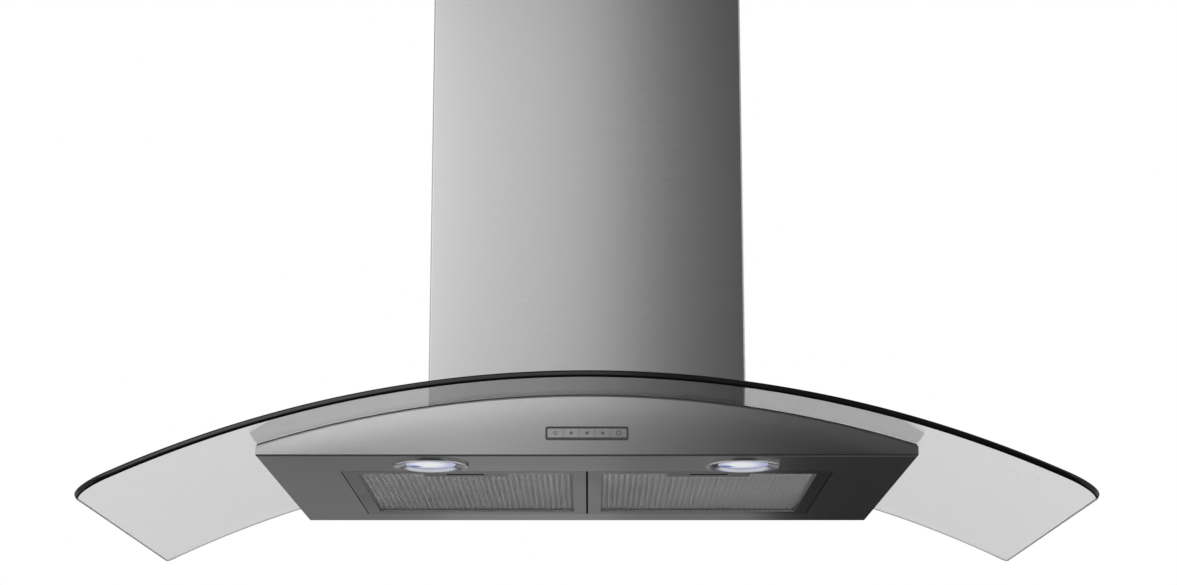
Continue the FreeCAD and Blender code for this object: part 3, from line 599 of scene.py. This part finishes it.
# cuts away what lies outside the box, seen from above
def trim(piece, low, high):
    editing(piece)
    sides = ((low, (-1, 0, 0)), (high, (1, 0, 0)), (low, (0, -1, 0)), (high, (0, 1, 0)))
    for corner, direction in sides:
        bpy.ops.mesh.select_all(action="SELECT")
        bpy.ops.mesh.bisect(plane_co=corner, plane_no=direction, clear_outer=True)
    stopEditing()


# one diamond, repeated both ways until it covers the filter, then thickened into strands
def expandedMesh(low, high, height, shift):
    across, along = filterPack["across"], filterPack["along"]
    clearSelection()
    start = (low.x - shift * across, low.y - shift * along, height)
    bpy.ops.mesh.primitive_circle_add(vertices=4, radius=1, fill_type="NGON", location=start)
    sheet = named("strands")
    sheet.scale = (across / 2, along / 2, 1)
    atOrigin(sheet)
    columns = math.ceil((high.x - low.x) / across) + filterPack["spare"]
    rows = math.ceil((high.y - low.y) / along) + filterPack["spare"]
    for count, step in ((columns, (across, 0, 0)), (rows, (0, along, 0))):
        modify(sheet, "ARRAY", count=count, use_relative_offset=False, use_constant_offset=True,
               constant_offset_displace=step, use_merge_vertices=True,
               merge_threshold=filterPack["weld"])
    trim(sheet, low, high)
    modify(sheet, "WIREFRAME", thickness=filterPack["strand"], use_replace=True,
           use_boundary=True, use_even_offset=True)
    middle = Vector((0, 0, height))
    editing(sheet)
    bpy.ops.transform.resize(value=(1, 1, filterPack["flatness"]), center_override=middle)
    stopEditing()
    return sheet


# the creased dark sheet behind the open layers: painted shade for the dark depth of the filter seen
# between the strands
def paintedShadeSheet(low, high, height):
    clearSelection()
    columns, rows = filterPack["backingSteps"]
    bpy.ops.mesh.primitive_grid_add(x_subdivisions=columns, y_subdivisions=rows, size=1)
    sheet = named("backing")
    sheet.scale = (high.x - low.x, high.y - low.y, 1)
    sheet.location = ((low.x + high.x) / 2, (low.y + high.y) / 2, height)
    atOrigin(sheet)
    (shortX, shortY), (longX, longY) = filterPack["shortWaves"], filterPack["longWaves"]
    for vert in sheet.data.vertices:
        x, y = vert.co.x, vert.co.y
        wave = math.sin(x * shortX) * math.cos(y * shortY) + math.sin(x * longX + y * longY)
        vert.co.z += filterPack["crease"] * wave / 2
    modify(sheet, "SOLIDIFY", thickness=filterPack["backingSheet"], offset=1)
    return sheet


def meshPack():
    low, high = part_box("filter_mesh_left")
    strand = filterPack["strand"] * filterPack["flatness"]
    outer = expandedMesh(low, high, low.z + strand, 0.0)
    inner = expandedMesh(low, high, low.z + strand + filterPack["layerGap"],
                         filterPack["layerShift"])
    backing = paintedShadeSheet(low, high, high.z - filterPack["backing"])
    for sheet in (outer, inner):
        paint(sheet, finishes["mesh_aluminium"])
    # the sheet behind the strands is painted dark, as painted shade
    paint(backing, finishes["mesh_shade"])
    left = joined("meshPackLeft", outer, inner, backing)
    settle(left)
    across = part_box("filter_mesh_right")[0].x - low.x
    right = duplicate(left, "meshPackRight", (across, 0, 0))
    for piece, side in ((left, "left"), (right, "right")):
        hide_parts("filter_mesh_" + side)
        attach(piece, "filter_" + side)
    return [left, right]


meshPacks = meshPack()
print("filter meshes made")


lampRing = {
    "sides": 96,
    "throat": 23.6 * mm,         # radius of the opening that holds the lens
    "throatDrop": 0.2 * mm,      # its edge hangs this far below the underside of the body
    "seat": 2.4 * mm,            # and the throat ends this far above it
    "neck": 29.0 * mm,
    "wall": 1.5 * mm,
    # from the throat out: radius and level of the dish and its lip, in millimetres
    "dish": [(26.4, -1.05), (29.4, -1.75), (32.4, -2.2), (33.8, -2.2), (34.6, -1.85),
             (35.0, -1.2), (35.0, 0.0)],
}


# a chrome ring that dishes in from its lip to the lens
def dishedRing(side):
    low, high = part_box("lamp_ring_" + side)
    centre = (low + high) / 2
    throat, seat, neck, wall = (lampRing[key] for key in ("throat", "seat", "neck", "wall"))
    top = high.z - bodyLow.z
    edge = (throat, -lampRing["throatDrop"])
    dish = [(reach * mm, level * mm) for reach, level in lampRing["dish"]]
    profile = [edge, *dish, (neck, 0.0), (neck, top), (neck - wall, top), (neck - wall, seat),
               (throat, seat), edge]
    clearSelection()
    bpy.ops.mesh.primitive_circle_add(
        vertices=lampRing["sides"], radius=throat, fill_type="NOTHING",
        location=(centre.x, centre.y, bodyLow.z + edge[1]))
    ring = named("lampRing" + side.capitalize())
    atOrigin(ring)
    editing(ring)
    for (reach, level), (nextReach, nextLevel) in zip(profile, profile[1:]):
        growth = nextReach / reach
        bpy.ops.mesh.extrude_region_move(
            TRANSFORM_OT_translate={"value": (0, 0, nextLevel - level)})
        bpy.ops.transform.resize(value=(growth, growth, 1),
                                 center_override=(centre.x, centre.y, bodyLow.z + nextLevel))
    stopEditing()
    clearSelection()
    settle(ring)
    paint(ring, finishes["lamp_chrome"])
    smooth(ring, degrees=30)
    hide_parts("lamp_ring_" + side)
    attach(ring, "hood")
    return ring


lampRings = [dishedRing("left"), dishedRing("right")]
print("lamp rings made")


lampLens = {
    "sides": 72,
    "gap": 0.4 * mm,             # left around the lens in the ring
    "rise": 0.1 * mm,            # the lens starts this far above the underside of the body
    "rings": 9,
    "crown": 0.5 * mm,
    "flute": 0.12 * mm,
    "rimFrom": 0.5,              # faces that look down less than this are on the black rim
    "frost": (260, 260, 260),
    "frostShade": (0.30, 0.36),
    "frostRoughness": (0.22, 0.34),
    "frostGlow": 0.15,
    "relief": 0.06,
    "reliefDepth": 0.2 * mm,
    "glow": 0.70,
    "colour": (0.50, 0.53, 0.80, 1.0),
}
# spots of other colours on the lens: place from its middle, radius, and gain at its middle
lensSpots = {
    "white": {
        "colour": (1.0, 1.0, 1.0, 1.0),
        "place": (-2 * mm, -2 * mm), "size": 20 * mm, "gain": 1.8,
    },
    "blue": {
        "colour": (0.02, 0.10, 0.42, 1.0),
        "place": (-15 * mm, 9 * mm), "size": 8 * mm, "gain": 1.6,
    },
}


# a lit, frosted lens: white where the diode stands behind it, lilac round that, one blue patch
def litLens(side, centre):
    finish = newFinish("lensGlow" + side)

    # full in the middle of a spot, and nothing from its edge on
    def spot(look):
        x, y = (at + shift for at, shift in zip(centre, look["place"]))
        scale = (1 / look["size"], 1 / look["size"], 0)
        reach = finish.node("ShaderNodeVectorMath", {"operation": "LENGTH"},
                            {0: finish.place(scale, (x, y, 0))}, "Value")
        return (1.0 - reach).math("MAXIMUM", 0.0) * look["gain"]

    frost = finish.noise(lampLens["frost"])
    white, blue = lensSpots["white"], lensSpots["blue"]
    whiteShare = (spot(white) + frost * lampLens["frostGlow"]).math("MINIMUM", 1.0)
    blueShare = spot(blue).math("MINIMUM", 1.0)
    lit = finish.blend(whiteShare, lampLens["colour"], white["colour"])
    dark, light = (rgb(shade) for shade in lampLens["frostShade"])
    return finish.surface(finish.shader({
        "Base Color": finish.blend(frost, dark, light),
        "Roughness": finish.between(frost, *lampLens["frostRoughness"]),
        "Emission Color": finish.blend(blueShare, lit, blue["colour"]),
        "Emission Strength": lampLens["glow"],
        "Normal": finish.bump(frost, lampLens["relief"], lampLens["reliefDepth"]),
    }))


def ribbedLens(side):
    low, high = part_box("lamp_lens_" + side)
    centre = (low + high) / 2
    radius = lampRing["throat"] - lampLens["gap"]
    clearSelection()
    bpy.ops.mesh.primitive_circle_add(vertices=lampLens["sides"], radius=radius,
                                      fill_type="NGON", location=(centre.x, centre.y, high.z))
    lens = named("lampLens" + side.capitalize())
    atOrigin(lens)
    rings, crown, flute = (lampLens[key] for key in ("rings", "crown", "flute"))
    drop = bodyLow.z + lampLens["rise"] - high.z
    editing(lens)
    bpy.ops.mesh.extrude_region_move(TRANSFORM_OT_translate={"value": (0, 0, drop)})
    depth = 0.0
    for ring in range(1, rings + 1):
        bpy.ops.mesh.inset(thickness=radius / (rings + 1), depth=0)
        domed = crown * (1 - (1 - ring / (rings + 1)) ** 2) + (flute if ring % 2 else 0)
        bpy.ops.transform.translate(value=(0, 0, depth - domed))
        depth = domed
    stopEditing()
    clearSelection()
    settle(lens)
    paint(lens, litLens(side.capitalize(), centre), finishes["seal_rubber"])
    for face in lens.data.polygons:
        face.material_index = 1 if abs(face.normal.z) < lampLens["rimFrom"] else 0
    smooth(lens, degrees=50)
    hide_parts("lamp_lens_" + side)
    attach(lens, "hood")


for side in ("left", "right"):
    ribbedLens(side)
print("lamp lenses made")


panScrew = {
    "sides": 40,
    "height": 2.0 * mm,
    "roundOver": 0.8 * mm,
    "roundSteps": 5,
    "recessWidth": 1.0 * mm,
    "recessLength": 4.2 * mm,
    "recessDepth": 1.2 * mm,
    "shank": 2.0 * mm,
    "grip": 3.4 * mm,
    "overlap": 0.2 * mm,         # of the shank and the head
}


def barAlongX(radius, start, end, name):
    clearSelection()
    bpy.ops.mesh.primitive_cylinder_add(
        vertices=panScrew["sides"], radius=radius, depth=end - start,
        location=((start + end) / 2, 0, 0), rotation=(0, math.pi / 2, 0))
    made = named(name)
    atOrigin(made)
    return made


# a pan head with a crossed recess, which looks along X from its seat at the origin
def crossScrew(radius):
    height, depth = panScrew["height"], panScrew["recessDepth"]
    length, width = panScrew["recessLength"], panScrew["recessWidth"]
    head = barAlongX(radius, 0, height, "head")
    roundWhere(head, panScrew["roundOver"], panScrew["roundSteps"],
               lambda start, end: min(start.x, end.x) > 0.9 * height)
    for tall, wide in ((length, width), (width, length)):
        carve(head, block(2 * depth, wide, tall, (height, 0, 0), "cutter"))
    shank = barAlongX(panScrew["shank"], -panScrew["grip"], panScrew["overlap"], "shank")
    return joined("screw", head, shank)


# four screws, two on each side of the cover
def screwSet(name, node, body):
    low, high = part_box(node)
    radius = (high.z - low.z) / 2
    first = crossScrew(radius)
    settle(first)
    paint(first, finishes["bolt_steel"])
    smooth(first, degrees=40)
    seats = ((low.x + panScrew["height"], math.pi), (high.x - panScrew["height"], 0.0))
    copies = [duplicate(first, "copy", (seat, spot, (low.z + high.z) / 2), turn)
              for seat, turn in seats for spot in (low.y + radius, high.y - radius)]
    bpy.data.objects.remove(first)
    screws = joined(name, *copies)
    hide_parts(node)
    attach(screws, body)


screwSet("chimneyScrews", "chimney_screws", "hood")
screwSet("hangerScrews", "hanger_screws", "ceiling_frame")
print("cover screws made")


panelFrame = {
    "width": 75.0 * mm,
    "height": 12.0 * mm,
    "innerWidth": 71.4 * mm,
    "innerHeight": 9.4 * mm,
    "outerCorner": 1.9 * mm,
    "innerCorner": 0.8 * mm,
    "cornerSteps": 6,
    "proud": 0.5 * mm,           # in front of the buttons
    "bevel": 0.2 * mm,
    "bevelSteps": 2,
    "bevelAngle": 60,
    "cutterReach": 1.0 * mm,     # out of the frame, before and behind
}


def roundedBar(width, height, corner, front, back, middle, name):
    place = (middle.x, (front + back) / 2, middle.z)
    bar = block(width, back - front, height, place, name)
    roundAlong(1, bar, corner, panelFrame["cornerSteps"], lambda start: True)
    return bar


def roundedFrame():
    low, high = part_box("panel_bezel")
    middle = (low + high) / 2
    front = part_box("button_1")[0].y - panelFrame["proud"]
    reach = panelFrame["cutterReach"]
    rim = roundedBar(panelFrame["width"], panelFrame["height"], panelFrame["outerCorner"],
                     front, high.y, middle, "panelFrame")
    hole = roundedBar(panelFrame["innerWidth"], panelFrame["innerHeight"],
                      panelFrame["innerCorner"], front - reach, high.y + reach, middle, "cutter")
    carve(rim, hole)
    modify(rim, "BEVEL", width=panelFrame["bevel"], segments=panelFrame["bevelSteps"],
           limit_method="ANGLE", angle_limit=math.radians(panelFrame["bevelAngle"]))
    settle(rim)
    paint(rim, finishes["panel_black"])
    smooth(rim, degrees=40)
    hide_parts("panel_bezel")
    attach(rim, "hood")


roundedFrame()

# soft grey signs on the buttons: ring, triangle, two dots, larger ring
buttonSigns = {
    "button_1": {"sides": 28, "radius": 1.7 * mm, "line": 0.75 * mm},
    "button_2": {"sides": 3, "radius": 2.0 * mm, "line": 0},
    "button_3": {"sides": 28, "radius": 1.5 * mm, "line": 0},
    "button_4": {"sides": 28, "radius": 1.5 * mm, "line": 0},
    "button_5": {"sides": 28, "radius": 2.4 * mm, "line": 0.9 * mm},
}
signDepth = 0.08 * mm


def buttonSign(node, sign):
    low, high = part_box(node)
    place = ((low.x + high.x) / 2, low.y, (low.z + high.z) / 2)
    clearSelection()
    bpy.ops.mesh.primitive_circle_add(
        vertices=sign["sides"], radius=sign["radius"], fill_type="NGON",
        location=place, rotation=(math.pi / 2, 0, 0))
    mark = named("sign_" + node)
    atOrigin(mark)
    editing(mark)
    bpy.ops.mesh.select_mode(type="FACE")
    if sign["line"]:
        bpy.ops.mesh.inset(thickness=sign["line"])
        bpy.ops.mesh.delete(type="FACE")
    bpy.ops.mesh.select_all(action="SELECT")
    bpy.ops.mesh.extrude_region_move(TRANSFORM_OT_translate={"value": (0, -signDepth, 0)})
    stopEditing()
    settle(mark)
    paint(mark, finishes["symbol_ink"])
    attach(mark, node)


for node, sign in buttonSigns.items():
    buttonSign(node, sign)
print("button signs made")


view = {
    "side": 1.4 * mm,
    "distance": 2.0862,          # in front of the body
    "drop": 0.345,               # below the body
    "pitch": 13.39,
    "lens": 71.6,
    "sensor": 36.0,
    "far": 100,
}


def studioCamera():
    data = bpy.data.cameras.new("camera")
    data.lens = view["lens"]
    data.sensor_width = view["sensor"]
    data.clip_end = view["far"]
    camera = bpy.data.objects.new("camera", data)
    scene.collection.objects.link(camera)
    camera.location = (view["side"], bodyLow.y - view["distance"], bodyLow.z - view["drop"])
    camera.rotation_euler = (math.radians(90 + view["pitch"]), 0, 0)
    scene.camera = camera
    scene.view_settings.view_transform = "Standard"


# names the pieces that a lamp lights, or that throw its shadows
def linkPieces(lamp, kind, pieces, state):
    group = bpy.data.collections.new(lamp.name + "Group")
    for piece in pieces:
        group.objects.link(piece)
    setattr(lamp.light_linking, kind, group)
    for member in group.collection_objects:
        member.light_linking.link_state = state


# an area light of a given glow, whatever its size
def softbox(name, place, facing, size, glow, onlyFor=(), notFor=(), throughGlass=True,
            tint=(1, 1, 1)):
    data = bpy.data.lights.new(name, "AREA")
    data.color = tint
    data.shape = "RECTANGLE"
    data.size, data.size_y = size
    data.energy = math.pi * size[0] * size[1] * glow
    lamp = bpy.data.objects.new(name, data)
    scene.collection.objects.link(lamp)
    lamp.location = place
    lamp.rotation_euler = Vector(facing).to_track_quat("-Z", "Y").to_euler()
    lamp.visible_camera = False
    lamp.visible_transmission = throughGlass
    if onlyFor or notFor:
        linkPieces(lamp, "receiver_collection", onlyFor or notFor,
                   "INCLUDE" if onlyFor else "EXCLUDE")
    return lamp


frontY = bodyLow.y - 0.95        # where the lights before the hood stand
backY = 1.6                      # and those behind it

# rows of upright boxes: each box has a left end, a right end and a glow.
# Low, high and the last of a place are heights over the underside of the body
lightRows = {
    "frontRow": {
        "y": frontY, "facing": (0, 1, 0), "low": 0.07, "high": 1.12,
        "boxes": [(-1.6, -1.0, 1.0), (-1.0, -0.6, 1.2), (-0.6, -0.45, 2.1), (-0.45, -0.25, 1.7),
                  (-0.25, -0.1, 0.96), (-0.1, 0.05, 0.92), (0.05, 0.2, 0.14), (0.2, 0.5, 0.07),
                  (0.7, 1.4, 0.7)],
    },
    "bodyRow": {
        "y": frontY, "facing": (0, 1, 0), "low": -0.03, "high": 1.02,
        "boxes": [(-0.45, -0.25, 0.62), (-0.25, -0.1, 0.84), (-0.1, 0.05, 0.58),
                  (0.05, 0.2, 0.22), (0.2, 0.5, 0.04)],
    },
    "underRow": {
        "y": backY, "facing": (0, -1, 0), "low": -0.42, "high": -0.18,
        "boxes": [(-1.2, -0.6, 0.74), (-0.6, -0.25, 0.46), (-0.25, 0.05, 0.67),
                  (0.05, 0.3, 0.46), (0.3, 0.8, 0.04)],
    },
}
lightBoxes = {
    "wingLight": {
        "place": (0, backY, -0.5), "facing": (0, -1, 0), "size": (1.8, 0.7), "glow": 0.52},
    "backLight": {"place": (0, backY, 0.62), "facing": (0, -1, 0), "size": (1.8, 1.2), "glow": 0.6},
    "sideLight": {"place": (1.9, 0.3, 0.6), "facing": (-1, 0, 0), "size": (1.1, 0.5), "glow": 1.1},
    "bounce": {"place": (0, -0.3, -0.85), "facing": (0, 0, 1), "size": (2.6, 1.8), "glow": 1.4},
    "ringFill": {"place": (0, -0.3, -0.85), "facing": (0, 0, 1), "size": (2.6, 1.8), "glow": 0.4},
    "ringGlow": {
        "place": (0, 0.8, -0.68), "facing": (0, -0.82, 0.57), "size": (1.8, 0.5), "glow": 1.3},
    "ringFront": {
        "place": (0, frontY, -0.25), "facing": (0, 1, 0), "size": (2.6, 0.4), "glow": 0.25},
    "lowGlow": {
        "place": (0, 1.1, -1.2), "facing": (0, -0.7, 0.7), "size": (2.6, 0.9), "glow": 0.22},
    "foldFill": {"place": (0, -0.2, -0.85), "facing": (0, 0, 1), "size": (2.6, 0.8), "glow": 0.14},
}
ringTint = (0.88, 0.90, 1.0)


def rowOfLights(name, **links):
    row = lightRows[name]
    low, high = row["low"], row["high"]
    return [softbox(name, ((left + right) / 2, row["y"], bodyLow.z + (low + high) / 2),
                    row["facing"], (right - left, high - low), glow, **links)
            for left, right, glow in row["boxes"]]


# side is -1 for the mirror image of a light at the side
def singleLight(name, side=1, **links):
    box = lightBoxes[name]
    x, y, height = box["place"]
    turn, ahead, up = box["facing"]
    softbox(name, (side * x, y, bodyLow.z + height), (side * turn, ahead, up), box["size"],
            box["glow"], **links)


def studioLights():
    shell = nodes["body_shell"]
    undersides = [shell, nodes["filter_frame_left"], nodes["filter_frame_right"]]
    rowOfLights("frontRow", notFor=[shell])
    for lamp in rowOfLights("bodyRow", onlyFor=[shell]):
        linkPieces(lamp, "blocker_collection", [canopyPane], "EXCLUDE")
    rowOfLights("underRow", notFor=[canopyPane], throughGlass=False)
    singleLight("wingLight", onlyFor=[canopyPane], throughGlass=False)
    singleLight("backLight", throughGlass=False)
    for side in (-1, 1):
        singleLight("sideLight", side, throughGlass=False)
    singleLight("bounce", onlyFor=meshPacks)
    singleLight("ringFill", onlyFor=lampRings)
    singleLight("ringGlow", onlyFor=lampRings, tint=ringTint)
    singleLight("ringFront", onlyFor=lampRings)
    singleLight("lowGlow", onlyFor=undersides)
    singleLight("foldFill", onlyFor=[shell])


# each pale part of the sky fades in as a direction reaches from one value to the other
sky = {
    "dim": 0.45,
    "sides": (0.4, 0.75),
    "aboveUp": (0.5, 0.8),
    "aboveBack": (-0.3, 0.2),
    "behindBack": (0.0, 0.4),
    "behindUp": (0.0, 0.12),
}


# white to the camera, and to what it sees straight through the glass. For the rest it is dim:
# dark before and low behind the hood, paler at the sides, above and behind
def studioWorld():
    finish = Finish(bpy.data.worlds.new("studio"), "ShaderNodeOutputWorld")
    direct, through, glossy, diffuse = (
        finish.node("ShaderNodeLightPath", {}, {}, ray)
        for ray in ("Is Camera Ray", "Is Transmission Ray", "Glossy Depth", "Diffuse Depth"))
    seen = direct.math("MAXIMUM", through * (glossy + diffuse < 0.5))
    direction = finish.node("ShaderNodeTexCoord", {}, {}, "Generated")
    x, y, z = (finish.node("ShaderNodeSeparateXYZ", {}, {"Vector": direction}, axis)
               for axis in "XYZ")

    def ramp(value, fade):
        sockets = {"Value": value, "From Min": sky[fade][0], "From Max": sky[fade][1]}
        return finish.node("ShaderNodeMapRange", {"interpolation_type": "SMOOTHSTEP"}, sockets)

    sides = ramp(x.math("ABSOLUTE"), "sides")
    above = ramp(z, "aboveUp") * ramp(y, "aboveBack")
    behind = ramp(y, "behindBack") * ramp(z, "behindUp")
    pale = sides.math("MAXIMUM", above).math("MAXIMUM", behind)
    dim, white = (
        finish.node("ShaderNodeBackground", {}, {"Color": colour, "Strength": 1.0})
        for colour in (finish.blend(pale, rgb(0.0), rgb(sky["dim"])), rgb(1.0)))
    scene.world = finish.owner
    finish.surface(finish.node("ShaderNodeMixShader", {}, {0: seen, 1: dim, 2: white}))


floorLook = {
    "drop": 1.9,                 # leaves room for a look from underneath
    "size": 200,
    "cloud": (2, 2, 2),
    "cloudDetail": 3.0,
    "shade": (0.78, 0.82),
    "roughness": (0.60, 0.75),
    "glow": 0.55,
}


def paleFloor():
    clearSelection()
    bpy.ops.mesh.primitive_plane_add(size=floorLook["size"],
                                     location=(0, 0, bodyLow.z - floorLook["drop"]))
    floor = named("floor")
    atOrigin(floor)
    finish = newFinish("floorPaint")
    cloud = finish.noise(floorLook["cloud"], floorLook["cloudDetail"])
    dark, light = (rgb(shade) for shade in floorLook["shade"])
    tint = finish.blend(cloud, dark, light)
    paint(floor, finish.surface(finish.shader({
        "Base Color": tint, "Roughness": finish.between(cloud, *floorLook["roughness"]),
        "Emission Color": tint, "Emission Strength": floorLook["glow"],
    })))
    floor.visible_glossy = False     # the hood's steel mirrors the soft lights only
    floor.visible_diffuse = False


studioCamera()
studioWorld()
studioLights()
paleFloor()
print("studio made")
